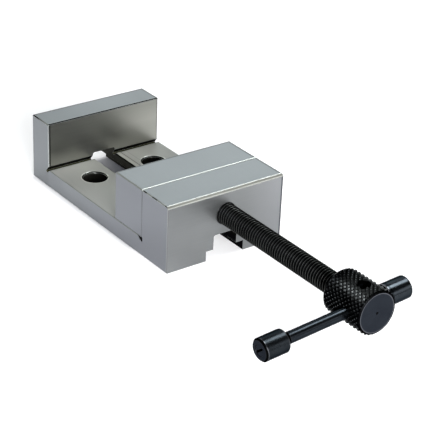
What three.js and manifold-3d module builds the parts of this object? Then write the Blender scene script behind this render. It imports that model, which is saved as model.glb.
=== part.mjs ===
// A 50 mm toolmaker's vise: a ground steel body with a fixed jaw and a nut block, a sliding jaw
// kept down by a plate under the bed, and a knurled screw turned by a sliding tommy bar.
// Millimetres, +Z up. The origin is where the screw's axis meets the fixed jaw's clamping face.
// +X runs along the screw to its head, and y = 0 is the middle of the body.

import * as THREE from "three";
import { mergeVertices } from "three/addons/utils/BufferGeometryUtils.js";
import Module from "manifold-3d";

// Body
const bodyWidth = 50;
const bodyLength = 90.6;
const bodyHeight = 25.9;
const bedThickness = 7.25;
const fixedJawThickness = 11.3;
const nutBlockLength = 15.7;
const nutBlockChamfer = 1;
const edgeChamfer = 0.35;

// Relief grooves, cut at 45 degrees into the corners where the bed meets the uprights
const reliefWidth = 1;
const reliefMouthWidth = 1.5;
const reliefDepth = 1.7;

// Guideway milled along the underside, with heights above the base
const slotWidth = 10;
const slotHeight = 9.4;
const slotCornerRadius = 0.8;
const channelWidth = 16.2;
const channelHeight = 3.85;

// Hold-down holes through the bed
const boltHoleDiameter = 9;
const boltHoleChamfer = 0.35;
const boltHoleSpacing = 26.6;
const boltHoleSetback = 14.6;

// Sliding jaw, with the gap to the nut block when fully open
const slidingJawLength = 16.8;
const restGap = 0.1;
const slideClearance = 0.05;

// Keep plate under the bed, its height above the base and its two countersunk screws
const keepPlateRecess = 0.8;
const keepPlateMargin = 0.3;
const keepScrewDiameter = 3;
const keepScrewLength = 8;
const keepScrewHeadDiameter = 5.6;
const keepScrewSpacing = 8;
const keepScrewSink = 0.1;
const hexSocketWidth = 2;
const hexSocketDepth = 1;

// Screw, with its axis above the base and the thread left bare in front of the nut block
const screwHeight = 16.85;
const screwDiameter = 8;
const pitch = 1.25;
const bareThreadLength = 61.7;
const threadLeadIn = 0.4;
const nutChamfer = 0.2;
const threadPlay = 0.05;

// Nose of the screw in the sliding jaw, held by two pins in its groove
const noseDiameter = 6;
const noseChamfer = 0.8;
const pocketDepth = 11;
const pocketPlay = 0.1;
const grooveSetback = 6;
const grooveDiameter = 4;
const pinDiameter = 2;
const pinTopReach = 3;
const pinChamfer = 0.2;
const fitGap = 0.05;

// Knurled head of the screw
const headDiameter = 16;
const headLength = 17.9;
const headRearChamfer = 0.75;
const headFrontChamfer = 0.55;
const centreMarkDiameter = 1;
const centreMarkDepth = 0.5;
const crossHoleDiameter = 4.2;
const crossHoleSetback = 6.4;

// Tommy bar, resting with its right knob against the head
const barDiameter = 4;
const knobSpacing = 40.45;
const knobDiameter = 8;
const knobLength = 9.4;
const knobSeatGap = 0.15;
const knobBoreDepth = 6.5;
const knobChamfer = 0.6;
const knobInnerChamfer = 0.25;
const knobRound = 0.8;
const barEndRecess = 0.15;
const barNeckDiameter = 3.4;
const barNeckLength = 0.8;
const barSlotWidth = 0.8;
const barSlotDepth = 1;
const barSlotAngle = THREE.MathUtils.degToRad(40);
const restTurn = THREE.MathUtils.degToRad(4.06);

// ISO thread form as shares of the pitch, and the flank's angle to a plane across the axis
const threadDepthShare = 0.5413;
const crestWidthShare = 1 / 8;
const flankAngle = THREE.MathUtils.degToRad(30);

// Facets round each turned or drilled surface, a hexagon socket, each turn of thread and each
// rounded corner
const roundSides = 32;
const smallSides = 20;
const hexSides = 6;
const threadSteps = 12;
const cornerSteps = 2;

// How far a cutter runs past the surface it opens
const overrun = 1;

// Levels and stations that the pieces share
const baseZ = -screwHeight;
const bedTopZ = baseZ + bedThickness;
const bodyTopZ = baseZ + bodyHeight;
const channelTopZ = baseZ + channelHeight;
const slotTopZ = baseZ + slotHeight;
const bodyBackX = -fixedJawThickness;
const bodyFrontX = bodyBackX + bodyLength;
const nutBackX = bodyFrontX - nutBlockLength;
const jawBackX = nutBackX - restGap;
const jawFrontX = jawBackX - slidingJawLength;
const tongueBottomZ = channelTopZ - slideClearance;
const keepPlateBottomZ = baseZ + keepPlateRecess;

const screwRadius = screwDiameter / 2;
const threadDepth = pitch * threadDepthShare;
const headStart = restGap + nutBlockLength + bareThreadLength;
const headEnd = headStart + headLength;
const crossHoleX = headEnd - crossHoleSetback;
const pinY = (grooveDiameter + pinDiameter) / 2 + fitGap;

const groundSteel = new THREE.MeshStandardMaterial({
  color: 0x9da2a5,
  roughness: 0.35,
  metalness: 0.9,
  flatShading: true,
});
const blackSteel = new THREE.MeshStandardMaterial({
  color: 0x23262c,
  roughness: 0.45,
  metalness: 0.7,
  flatShading: true,
});

const wasm = await Module();
wasm.setup();

// A closed geometry as a solid that can be joined and cut. Faces that collapse on an axis are dropped.
function solidOf(geometry) {
  const bare = geometry.clone();
  bare.deleteAttribute("normal");
  bare.deleteAttribute("uv");
  const merged = mergeVertices(bare);
  const corners = merged.index.array;
  const triVerts = [];
  for (let i = 0; i < corners.length; i += 3) {
    const [a, b, c] = corners.slice(i, i + 3);
    if (a !== b && b !== c && c !== a) triVerts.push(a, b, c);
  }
  return new wasm.Manifold(
    new wasm.Mesh({
      numProp: 3,
      vertProperties: merged.attributes.position.array,
      triVerts: new Uint32Array(triVerts),
    }),
  );
}

// A solid as a named mesh.
function meshOf(name, solid, material) {
  const { vertProperties, triVerts } = solid.getMesh();
  const geometry = new THREE.BufferGeometry();
  geometry.setAttribute("position", new THREE.BufferAttribute(vertProperties, 3));
  geometry.setIndex(new THREE.BufferAttribute(triVerts, 1));
  const mesh = new THREE.Mesh(geometry, material);
  mesh.name = name;
  return mesh;
}

const axisX = new THREE.Vector3(1, 0, 0);
const axisY = new THREE.Vector3(0, 1, 0);
const axisZ = new THREE.Vector3(0, 0, 1);

// An outline in x and z, carried along Y between two planes.
function extrudeAlongY(outline, from, to) {
  const basis = new THREE.Matrix4().makeBasis(axisX, axisZ, axisY.clone().negate());
  const geometry = new THREE.ExtrudeGeometry(outline, { depth: to - from, bevelEnabled: false });
  return solidOf(geometry.applyMatrix4(basis).translate(0, to, 0));
}

// An outline in y and z, carried along X between two planes.
function extrudeAlongX(outline, from, to) {
  const basis = new THREE.Matrix4().makeBasis(axisY, axisZ, axisX);
  const geometry = new THREE.ExtrudeGeometry(outline, {
    depth: to - from,
    bevelEnabled: false,
    curveSegments: cornerSteps,
  });
  return solidOf(geometry.applyMatrix4(basis).translate(from, 0, 0));
}

// A profile of [station, radius] pairs turned about X, Y or Z.
const turnedBasis = {
  x: new THREE.Matrix4().makeBasis(axisY, axisX, axisZ.clone().negate()),
  y: new THREE.Matrix4(),
  z: new THREE.Matrix4().makeBasis(axisX, axisZ, axisY.clone().negate()),
};
function turned(axis, profile, sides = roundSides) {
  const points = profile.map(([station, radius]) => new THREE.Vector2(radius, station));
  return solidOf(new THREE.LatheGeometry(points, sides).applyMatrix4(turnedBasis[axis]));
}

// A plain round bar or drilled hole about X, Y or Z.
function round(axis, diameter, from, to, sides = roundSides) {
  const radius = diameter / 2;
  return turned(axis, [[from, 0], [from, radius], [to, radius], [to, 0]], sides);
}

// The 45 degree relief groove at an inside corner, as outline points from the bed to the upright.
// side is +1 where the upright stands on the +X side of the corner, and -1 on the other.
function reliefGroove(cornerX, cornerZ, side) {
  const mouth = reliefMouthWidth * Math.SQRT1_2;
  const near = (reliefDepth - reliefWidth / 2) * Math.SQRT1_2;
  const far = (reliefDepth + reliefWidth / 2) * Math.SQRT1_2;
  return [
    new THREE.Vector2(cornerX - side * mouth, cornerZ),
    new THREE.Vector2(cornerX + side * near, cornerZ - far),
    new THREE.Vector2(cornerX + side * far, cornerZ - near),
    new THREE.Vector2(cornerX, cornerZ + mouth),
  ];
}

// A helical ridge and its core as one closed rod about X, a few turns longer than asked. The
// ridge is a right-hand helix whose middle crosses x = 0 at angle 0. Play makes it a nut's cutter.
function threadedRod(from, to, radialPlay, axialPlay) {
  const crestRadius = screwRadius + radialPlay;
  const rootRadius = crestRadius - threadDepth;
  const flankWidth = threadDepth * Math.tan(flankAngle);
  const halfCrest = (pitch * crestWidthShare) / 2 + axialPlay - radialPlay * Math.tan(flankAngle);
  const profile = [
    [-halfCrest - flankWidth, rootRadius],
    [-halfCrest, crestRadius],
    [halfCrest, crestRadius],
    [halfCrest + flankWidth, rootRadius],
  ];
  const firstStep = (Math.floor(from / pitch) - 2) * threadSteps;
  const steps = (Math.ceil(to / pitch) + 2) * threadSteps - firstStep;
  const points = [];
  for (let step = 0; step <= steps; step++) {
    const turns = (firstStep + step) / threadSteps;
    const angle = 2 * Math.PI * turns;
    for (const [offset, radius] of profile) {
      points.push(turns * pitch + offset, radius * Math.cos(angle), radius * Math.sin(angle));
    }
  }
  const corner = (step, k) => step * profile.length + k;
  const last = profile.length - 1;
  const faces = [];
  const quad = (a, b, c, d) => faces.push(a, b, c, a, c, d);
  for (let step = 0; step < steps; step++) {
    for (let k = 0; k < last; k++) {
      quad(corner(step, k), corner(step + 1, k), corner(step + 1, k + 1), corner(step, k + 1));
    }
    const nextTurn = step + threadSteps;
    if (nextTurn < steps) {
      quad(corner(step, last), corner(step + 1, last), corner(nextTurn + 1, 0), corner(nextTurn, 0));
    }
  }
  const startPoint = points.length / 3;
  const endPoint = startPoint + 1;
  points.push((firstStep / threadSteps) * pitch, 0, 0);
  points.push(((firstStep + steps) / threadSteps) * pitch, 0, 0);
  for (let step = 0; step < threadSteps; step++) {
    const back = steps - threadSteps + step;
    faces.push(startPoint, corner(step + 1, 0), corner(step, 0));
    faces.push(endPoint, corner(back, last), corner(back + 1, last));
  }
  for (let k = 0; k < last; k++) {
    faces.push(startPoint, corner(0, k), corner(0, k + 1));
    faces.push(endPoint, corner(steps, k + 1), corner(steps, k));
  }
  faces.push(startPoint, corner(0, last), corner(threadSteps, 0));
  faces.push(endPoint, corner(steps, 0), corner(steps - threadSteps, last));
  const geometry = new THREE.BufferGeometry();
  geometry.setAttribute("position", new THREE.Float32BufferAttribute(points, 3));
  geometry.setIndex(faces);
  return solidOf(geometry);
}

// The tapped hole's cutter: the screw's thread grown by its play and by what the flat facets lack.
function nutThread() {
  const facetSag = screwRadius * (1 - Math.cos(Math.PI / threadSteps));
  const radialPlay = facetSag + threadPlay;
  const axialPlay = facetSag * Math.tan(flankAngle) + threadPlay;
  const mouthRadius = screwRadius + radialPlay + nutChamfer;
  const throatRadius = mouthRadius - nutChamfer - threadDepth;
  const coneLength = mouthRadius - throatRadius;
  const mouth = (face, inwards) => {
    const outside = face - inwards * overrun;
    const profile = [
      [outside, 0],
      [outside, mouthRadius],
      [face, mouthRadius],
      [face + inwards * coneLength, throatRadius],
      [face + inwards * coneLength, 0],
    ];
    return turned("x", inwards > 0 ? profile : profile.reverse());
  };
  const rod = threadedRod(restGap, restGap + nutBlockLength, radialPlay, axialPlay);
  return rod.add(mouth(restGap, 1)).add(mouth(restGap + nutBlockLength, -1));
}

// Body: the side outline and the end outline, crossed, then drilled and tapped.
function viseBody() {
  const side = new THREE.Shape([
    new THREE.Vector2(bodyBackX, baseZ),
    new THREE.Vector2(bodyFrontX, baseZ),
    new THREE.Vector2(bodyFrontX, bodyTopZ - nutBlockChamfer),
    new THREE.Vector2(bodyFrontX - nutBlockChamfer, bodyTopZ),
    new THREE.Vector2(nutBackX + edgeChamfer, bodyTopZ),
    new THREE.Vector2(nutBackX, bodyTopZ - edgeChamfer),
    ...reliefGroove(nutBackX, bedTopZ, 1).reverse(),
    ...reliefGroove(0, bedTopZ, -1),
    new THREE.Vector2(0, bodyTopZ - edgeChamfer),
    new THREE.Vector2(-edgeChamfer, bodyTopZ),
    new THREE.Vector2(bodyBackX + edgeChamfer, bodyTopZ),
    new THREE.Vector2(bodyBackX, bodyTopZ - edgeChamfer),
  ]);
  const sideY = bodyWidth / 2;
  const slotY = slotWidth / 2;
  const channelY = channelWidth / 2;
  const end = new THREE.Shape();
  end.moveTo(channelY, baseZ);
  end.lineTo(sideY - edgeChamfer, baseZ);
  end.lineTo(sideY, baseZ + edgeChamfer);
  end.lineTo(sideY, bodyTopZ - edgeChamfer);
  end.lineTo(sideY - edgeChamfer, bodyTopZ);
  end.lineTo(edgeChamfer - sideY, bodyTopZ);
  end.lineTo(-sideY, bodyTopZ - edgeChamfer);
  end.lineTo(-sideY, baseZ + edgeChamfer);
  end.lineTo(edgeChamfer - sideY, baseZ);
  end.lineTo(-channelY, baseZ);
  end.lineTo(-channelY, channelTopZ);
  end.lineTo(-slotY, channelTopZ);
  const cornerY = slotY - slotCornerRadius;
  const cornerZ = slotTopZ - slotCornerRadius;
  end.absarc(-cornerY, cornerZ, slotCornerRadius, Math.PI, Math.PI / 2, true);
  end.absarc(cornerY, cornerZ, slotCornerRadius, Math.PI / 2, 0, true);
  end.lineTo(slotY, channelTopZ);
  end.lineTo(channelY, channelTopZ);
  let body = extrudeAlongY(side, -sideY, sideY).intersect(extrudeAlongX(end, bodyBackX, bodyFrontX));
  for (const y of [-boltHoleSpacing / 2, boltHoleSpacing / 2]) {
    const radius = boltHoleDiameter / 2;
    const hole = turned("z", [
      [baseZ - overrun, 0],
      [baseZ - overrun, radius],
      [bedTopZ - boltHoleChamfer, radius],
      [bedTopZ + overrun, radius + boltHoleChamfer + overrun],
      [bedTopZ + overrun, 0],
    ]);
    body = body.subtract(hole.translate([boltHoleSetback, y, 0]));
  }
  const tap = nutThread().rotate([THREE.MathUtils.radToDeg(restTurn), 0, 0]);
  return body.subtract(tap.translate([jawBackX, 0, 0]));
}

// Sliding jaw, from x = 0 at its clamping face: the block, its tongue in the slot, the pocket for
// the screw's nose, and the holes for the pins and the keep plate's screws.
function slidingJaw() {
  const side = new THREE.Shape([
    new THREE.Vector2(0, tongueBottomZ),
    new THREE.Vector2(slidingJawLength, tongueBottomZ),
    new THREE.Vector2(slidingJawLength, bodyTopZ - edgeChamfer),
    new THREE.Vector2(slidingJawLength - edgeChamfer, bodyTopZ),
    new THREE.Vector2(edgeChamfer, bodyTopZ),
    new THREE.Vector2(0, bodyTopZ - edgeChamfer),
  ]);
  const sideY = bodyWidth / 2;
  const tongueY = slotWidth / 2 - slideClearance;
  const blockBottomZ = bedTopZ + slideClearance;
  const end = new THREE.Shape([
    new THREE.Vector2(tongueY, tongueBottomZ),
    new THREE.Vector2(tongueY, blockBottomZ),
    new THREE.Vector2(sideY, blockBottomZ),
    new THREE.Vector2(sideY, bodyTopZ - edgeChamfer),
    new THREE.Vector2(sideY - edgeChamfer, bodyTopZ),
    new THREE.Vector2(edgeChamfer - sideY, bodyTopZ),
    new THREE.Vector2(-sideY, bodyTopZ - edgeChamfer),
    new THREE.Vector2(-sideY, blockBottomZ),
    new THREE.Vector2(-tongueY, blockBottomZ),
    new THREE.Vector2(-tongueY, tongueBottomZ),
  ]);
  let jaw = extrudeAlongY(side, -sideY, sideY).intersect(extrudeAlongX(end, 0, slidingJawLength));
  const pocketBottom = slidingJawLength - pocketDepth;
  const pocketDiameter = noseDiameter + 2 * pocketPlay;
  jaw = jaw.subtract(round("x", pocketDiameter, pocketBottom, slidingJawLength + overrun));
  for (const y of [-pinY, pinY]) {
    const holeTop = pinTopReach + fitGap;
    const hole = round("z", pinDiameter + 2 * fitGap, tongueBottomZ - overrun, holeTop, smallSides);
    jaw = jaw.subtract(hole.translate([slidingJawLength - grooveSetback, y, 0]));
  }
  for (const x of keepScrewStations()) {
    const holeTop = keepPlateBottomZ + keepScrewSink + keepScrewLength + fitGap;
    const hole = round("z", keepScrewDiameter + 2 * fitGap, tongueBottomZ - overrun, holeTop, smallSides);
    jaw = jaw.subtract(hole.translate([x, 0, 0]));
  }
  return jaw;
}

function keepScrewStations() {
  const middle = slidingJawLength / 2;
  return [middle - keepScrewSpacing / 2, middle + keepScrewSpacing / 2];
}

// Keep plate: it runs in the channel below the bed and hangs from the sliding jaw's tongue.
function keepPlate() {
  const halfWidth = channelWidth / 2 - 2 * slideClearance;
  const front = keepPlateMargin;
  const back = slidingJawLength - keepPlateMargin;
  const end = new THREE.Shape([
    new THREE.Vector2(halfWidth - edgeChamfer, keepPlateBottomZ),
    new THREE.Vector2(halfWidth, keepPlateBottomZ + edgeChamfer),
    new THREE.Vector2(halfWidth, tongueBottomZ),
    new THREE.Vector2(-halfWidth, tongueBottomZ),
    new THREE.Vector2(-halfWidth, keepPlateBottomZ + edgeChamfer),
    new THREE.Vector2(edgeChamfer - halfWidth, keepPlateBottomZ),
  ]);
  let plate = extrudeAlongX(end, front, back);
  const shankRadius = keepScrewDiameter / 2 + fitGap;
  const headRadius = keepScrewHeadDiameter / 2 + fitGap;
  const seatZ = keepPlateBottomZ + keepScrewSink + headRadius - shankRadius;
  for (const x of keepScrewStations()) {
    const hole = turned(
      "z",
      [
        [keepPlateBottomZ - overrun, 0],
        [keepPlateBottomZ - overrun, headRadius],
        [keepPlateBottomZ + keepScrewSink, headRadius],
        [seatZ, shankRadius],
        [tongueBottomZ + overrun, shankRadius],
        [tongueBottomZ + overrun, 0],
      ],
      smallSides,
    );
    plate = plate.subtract(hole.translate([x, 0, 0]));
  }
  return plate;
}

// One of the keep plate's countersunk screws, with its head down and a hexagon socket in it.
function keepScrew(x) {
  const headZ = keepPlateBottomZ + keepScrewSink;
  const shankRadius = keepScrewDiameter / 2;
  const headRadius = keepScrewHeadDiameter / 2;
  const tipZ = headZ + keepScrewLength;
  const body = turned(
    "z",
    [
      [headZ, 0],
      [headZ, headRadius],
      [headZ + headRadius - shankRadius, shankRadius],
      [tipZ - pinChamfer, shankRadius],
      [tipZ, shankRadius - pinChamfer],
      [tipZ, 0],
    ],
    smallSides,
  );
  const acrossCorners = hexSocketWidth / Math.cos(Math.PI / hexSides);
  const socket = round("z", acrossCorners, headZ - overrun, headZ + hexSocketDepth, hexSides);
  return body.subtract(socket).translate([x, 0, 0]);
}

// One of the two pins that stand in the groove of the screw's nose.
function nosePin(y) {
  const radius = pinDiameter / 2;
  const bottomZ = tongueBottomZ + fitGap;
  const pin = turned(
    "z",
    [
      [bottomZ, 0],
      [bottomZ, radius - pinChamfer],
      [bottomZ + pinChamfer, radius],
      [pinTopReach - pinChamfer, radius],
      [pinTopReach, radius - pinChamfer],
      [pinTopReach, 0],
    ],
    smallSides,
  );
  return pin.translate([slidingJawLength - grooveSetback, y, 0]);
}

// Screw, from x = 0 at the sliding jaw's back: grooved nose, thread and cross-drilled head.
function spindle() {
  const noseRadius = noseDiameter / 2;
  const grooveRadius = grooveDiameter / 2;
  const noseEnd = pocketPlay - pocketDepth;
  const grooveHalf = pinDiameter / 2 + fitGap;
  const threadStart = threadLeadIn;
  const nose = turned("x", [
    [noseEnd, 0],
    [noseEnd, noseRadius - noseChamfer],
    [noseEnd + noseChamfer, noseRadius],
    [-grooveSetback - grooveHalf, noseRadius],
    [-grooveSetback - grooveHalf, grooveRadius],
    [grooveHalf - grooveSetback, grooveRadius],
    [grooveHalf - grooveSetback, noseRadius],
    [threadStart + pitch, noseRadius],
    [threadStart + pitch, 0],
  ]);
  const envelopeRadius = screwRadius + overrun;
  const envelope = turned("x", [
    [threadStart, 0],
    [threadStart, noseRadius],
    [threadStart + envelopeRadius - noseRadius, envelopeRadius],
    [headStart + overrun, envelopeRadius],
    [headStart + overrun, 0],
  ]);
  const thread = threadedRod(threadStart, headStart + overrun, 0, 0).intersect(envelope);
  const headRadius = headDiameter / 2;
  const head = turned("x", [
    [headStart, 0],
    [headStart, headRadius - headRearChamfer],
    [headStart + headRearChamfer, headRadius],
    [headEnd - headFrontChamfer, headRadius],
    [headEnd, headRadius - headFrontChamfer],
    [headEnd, centreMarkDiameter / 2],
    [headEnd - centreMarkDepth, 0],
  ]);
  const reach = headRadius + overrun;
  const barHole = round("y", crossHoleDiameter, -reach, reach, smallSides);
  const spareHole = round("z", crossHoleDiameter, -reach, reach, smallSides);
  return nose
    .add(thread)
    .add(head)
    .subtract(barHole.translate([crossHoleX, 0, 0]))
    .subtract(spareHole.translate([crossHoleX, 0, 0]));
}

// Inner faces of the two knobs along the tommy bar, from the screw's axis.
const rightKnobY = headDiameter / 2 + knobSeatGap;
const leftKnobY = rightKnobY - knobSpacing;

// Tommy bar along Y: necked beside the left knob, with a screwdriver slot in its left end.
function tommyBar() {
  const radius = barDiameter / 2;
  const leftEnd = leftKnobY - knobLength + barEndRecess;
  const rightEnd = rightKnobY + knobBoreDepth - fitGap;
  const bar = turned(
    "y",
    [
      [leftEnd, 0],
      [leftEnd, radius],
      [leftKnobY, radius],
      [leftKnobY, barNeckDiameter / 2],
      [leftKnobY + barNeckLength, barNeckDiameter / 2],
      [leftKnobY + barNeckLength, radius],
      [rightEnd, radius],
      [rightEnd, 0],
    ],
    smallSides,
  );
  const slotLength = barDiameter + 2 * overrun;
  const slotRun = barSlotDepth + overrun;
  const slot = new THREE.BoxGeometry(slotLength, slotRun, barSlotWidth)
    .rotateY(-barSlotAngle)
    .translate(0, leftEnd + barSlotDepth - slotRun / 2, 0);
  return bar.subtract(solidOf(slot));
}

// Left knob: a sleeve with a chamfered outer end and a rounded inner one, screwed on the bar.
function leftKnob() {
  const radius = knobDiameter / 2;
  const boreRadius = barDiameter / 2 + fitGap;
  const outer = leftKnobY - knobLength;
  const profile = new THREE.Path();
  profile.moveTo(boreRadius, outer);
  profile.lineTo(radius - knobChamfer, outer);
  profile.lineTo(radius, outer + knobChamfer);
  profile.lineTo(radius, leftKnobY - knobRound);
  profile.absarc(radius - knobRound, leftKnobY - knobRound, knobRound, 0, Math.PI / 2, false);
  profile.lineTo(boreRadius, leftKnobY);
  profile.lineTo(boreRadius, outer);
  return turned("y", profile.getPoints(cornerSteps).map(({ x, y }) => [y, x]), smallSides);
}

// Right knob: a cap with a rounded outer end, pressed on the bar's right end.
function rightKnob() {
  const radius = knobDiameter / 2;
  const boreRadius = barDiameter / 2 + fitGap;
  const outer = rightKnobY + knobLength;
  const bore = rightKnobY + knobBoreDepth;
  const profile = new THREE.Path();
  profile.moveTo(0, bore);
  profile.lineTo(boreRadius, bore);
  profile.lineTo(boreRadius, rightKnobY);
  profile.lineTo(radius - knobInnerChamfer, rightKnobY);
  profile.lineTo(radius, rightKnobY + knobInnerChamfer);
  profile.lineTo(radius, outer - knobRound);
  profile.absarc(radius - knobRound, outer - knobRound, knobRound, 0, Math.PI / 2, false);
  profile.lineTo(0, outer);
  return turned("y", profile.getPoints(cornerSteps).map(({ x, y }) => [y, x]), smallSides);
}

const vise = new THREE.Group();
vise.add(meshOf("vise_body", viseBody(), groundSteel));

const jawGroup = new THREE.Group();
jawGroup.position.x = jawFrontX;
jawGroup.add(meshOf("sliding_jaw", slidingJaw(), groundSteel));
jawGroup.add(meshOf("keep_plate", keepPlate(), groundSteel));
const [frontScrewX, rearScrewX] = keepScrewStations();
jawGroup.add(meshOf("keep_plate_screw_front", keepScrew(frontScrewX), blackSteel));
jawGroup.add(meshOf("keep_plate_screw_rear", keepScrew(rearScrewX), blackSteel));
jawGroup.add(meshOf("nose_pin_left", nosePin(-pinY), groundSteel));
jawGroup.add(meshOf("nose_pin_right", nosePin(pinY), groundSteel));
vise.add(jawGroup);

const screwGroup = new THREE.Group();
screwGroup.position.x = jawBackX;
screwGroup.rotation.x = restTurn;
screwGroup.add(meshOf("spindle", spindle(), blackSteel));
vise.add(screwGroup);

const tommyGroup = new THREE.Group();
tommyGroup.position.x = crossHoleX;
tommyGroup.add(meshOf("tommy_bar", tommyBar(), blackSteel));
tommyGroup.add(meshOf("tommy_knob_left", leftKnob(), blackSteel));
tommyGroup.add(meshOf("tommy_knob_right", rightKnob(), blackSteel));
screwGroup.add(tommyGroup);

export default vise;
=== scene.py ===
# A small toolmaker's vise in ground steel with a blackened screw, head and tommy bar.
# Lengths are drawn in millimetres and become metres in the meshes.

import math

import bmesh
import bpy
from mathutils import Matrix, Vector


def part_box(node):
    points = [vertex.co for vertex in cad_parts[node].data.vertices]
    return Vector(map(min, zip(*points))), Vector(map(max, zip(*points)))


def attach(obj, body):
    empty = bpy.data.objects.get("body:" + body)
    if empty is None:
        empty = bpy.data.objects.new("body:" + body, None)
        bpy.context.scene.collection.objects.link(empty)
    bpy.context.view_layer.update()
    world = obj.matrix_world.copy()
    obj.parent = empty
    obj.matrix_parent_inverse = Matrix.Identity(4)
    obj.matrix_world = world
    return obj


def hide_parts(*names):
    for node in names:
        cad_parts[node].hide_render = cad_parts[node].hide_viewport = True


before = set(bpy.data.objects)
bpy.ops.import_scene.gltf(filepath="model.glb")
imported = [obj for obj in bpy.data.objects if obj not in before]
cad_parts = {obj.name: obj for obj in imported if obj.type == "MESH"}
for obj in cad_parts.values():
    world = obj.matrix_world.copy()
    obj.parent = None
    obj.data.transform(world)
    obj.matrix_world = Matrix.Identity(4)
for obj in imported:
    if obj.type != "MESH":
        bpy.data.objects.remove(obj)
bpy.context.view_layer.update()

MM = 0.001
WORLD = bpy.context.scene.collection

# Levels and stations, in millimetres like the lengths below, mostly read from the CAD nodes
body_low, body_high = (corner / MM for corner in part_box("vise_body"))
jaw_low, jaw_high = (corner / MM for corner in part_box("sliding_jaw"))
plate_low, plate_high = (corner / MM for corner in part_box("keep_plate"))
BASE_Z = body_low.z
TOP_Z = body_high.z
BED_Z = BASE_Z + 7.25
CHANNEL_Z = BASE_Z + 3.85
SLOT_Z = BASE_Z + 9.4
HALF_WIDTH = body_high.y
BACK_X = body_low.x
FRONT_X = body_high.x
NUT_LENGTH = 15.7
NUT_BACK_X = FRONT_X - NUT_LENGTH
JAW_FRONT_X = jaw_low.x
JAW_BACK_X = jaw_high.x

# Body
EDGE = 0.35
NUT_CHAMFER = 1
GROOVE_WIDTH = 1
GROOVE_MOUTH = 1.5
GROOVE_DEPTH = 1.7
CHANNEL_HALF = 8.1
SLOT_HALF = 5
SLOT_ROUND = 0.8
HOLE_X = 14.6
HOLE_Y = 13.3
HOLE_RADIUS = 4.5
HOLE_CHAMFER = 0.45
BORE_RADIUS = 4.1
BORE_CHAMFER = 0.15

# Sliding jaw, keep plate, screws and pins
PLAY = 0.05
POCKET_DEPTH = 11
POCKET_RADIUS = 3.1
KEEP_SCREW_X = {"front": 51.1, "rear": 59.1}
KEEP_SCREW_RADIUS = 1.5
KEEP_HEAD_RADIUS = 2.8
KEEP_SCREW_LENGTH = 8
KEEP_SCREW_SINK = 0.1
KEEP_HOLE_TOP_Z = -7.9
PIN_Y = {"left": -3.05, "right": 3.05}
PIN_SETBACK = 6
PIN_RADIUS = 1
PIN_TOP_Z = 3
PIN_CHAMFER = 0.2

# Screw and head, from the sliding jaw's back
REST_TURN = math.radians(4.06)
SCREW_RADIUS = 4
PITCH = 1.25
THREAD_DEPTH = PITCH * 0.5413
THREAD_STEPS = 48
CREST_ROUND = 0.07
SCREW_LENGTH = 0.1 + NUT_LENGTH + 61.7
HEAD_LENGTH = 17.9
HEAD_RADIUS = 8
HEAD_END_X = SCREW_LENGTH + HEAD_LENGTH
CROSS_HOLE_X = HEAD_END_X - 6.4
CROSS_HOLE_RADIUS = 2.1
SPARE_MOUTH_RADIUS = 2.35
SPARE_MOUTH_Z = 6.6
NOSE_RADIUS = 3
NOSE_LENGTH = 10.9
NOSE_GROOVE_RADIUS = 2
KNURL_AROUND = 28
KNURL_PITCH = 1.83
KNURL_DEPTH = 0.5
KNURL_FLAT = 0.13
KNURL_TURN = math.radians(-1.5)
KNURL_MARK = 83.77

# Bar and knobs, from the screw's axis
BAR_RADIUS = 2
BAR_NECK_RADIUS = 1.5
BAR_NECK_LENGTH = 1.5
BAR_SLOT_HALF = 0.4
BAR_SLOT_DEPTH = 1
BAR_SLOT_TURN = math.radians(-40)
RIGHT_KNOB_Y = 8.15
LEFT_KNOB_Y = RIGHT_KNOB_Y - 40.45
KNOB_RADIUS = 4
KNOB_LENGTH = 9.4
KNOB_BORE_RADIUS = 2.05
KNOB_BORE_DEPTH = 6.5
KNOB_ROUND = 0.8
KNOB_CHAMFER = 0.6
KNOB_INNER_CHAMFER = 0.25

# Floor
FLOOR_HALF = 4000
FLOOR_GAP = 0.05

# Camera, with its place in metres
CAMERA_SPOT = (0.4606, -0.2953, 0.25115)
CAMERA_RIGHT = (0.5892, 0.8071, 0.0387)
CAMERA_UP = (-0.3946, 0.2455, 0.8855)
CAMERA_LENS = 130.204
SENSOR_WIDTH = 36


# Mesh helpers

SHARP_ANGLE = math.radians(25)
ARC_STEPS = 6


def mesh_object(name, points, faces):
    mesh = bpy.data.meshes.new(name)
    mesh.from_pydata([tuple(c * MM for c in p) for p in points], [], faces)
    tidy = bmesh.new()
    tidy.from_mesh(mesh)
    bmesh.ops.remove_doubles(tidy, verts=tidy.verts, dist=1e-7)
    bmesh.ops.dissolve_degenerate(tidy, edges=tidy.edges, dist=1e-7)
    bmesh.ops.recalc_face_normals(tidy, faces=tidy.faces)
    tidy.to_mesh(mesh)
    tidy.free()
    obj = bpy.data.objects.new(name, mesh)
    WORLD.objects.link(obj)
    return obj


def prism(name, axis, outline, start, end):
    """An outline in the two other axes, carried along the named one."""
    place = {
        "x": lambda p, s: (s, p[0], p[1]),
        "y": lambda p, s: (p[0], s, p[1]),
        "z": lambda p, s: (p[0], p[1], s),
    }[axis]
    n = len(outline)
    points = [place(p, start) for p in outline] + [place(p, end) for p in outline]
    faces = [tuple(range(n)), tuple(range(n, 2 * n))]
    faces += [(i, (i + 1) % n, n + (i + 1) % n, n + i) for i in range(n)]
    return mesh_object(name, points, faces)


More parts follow.
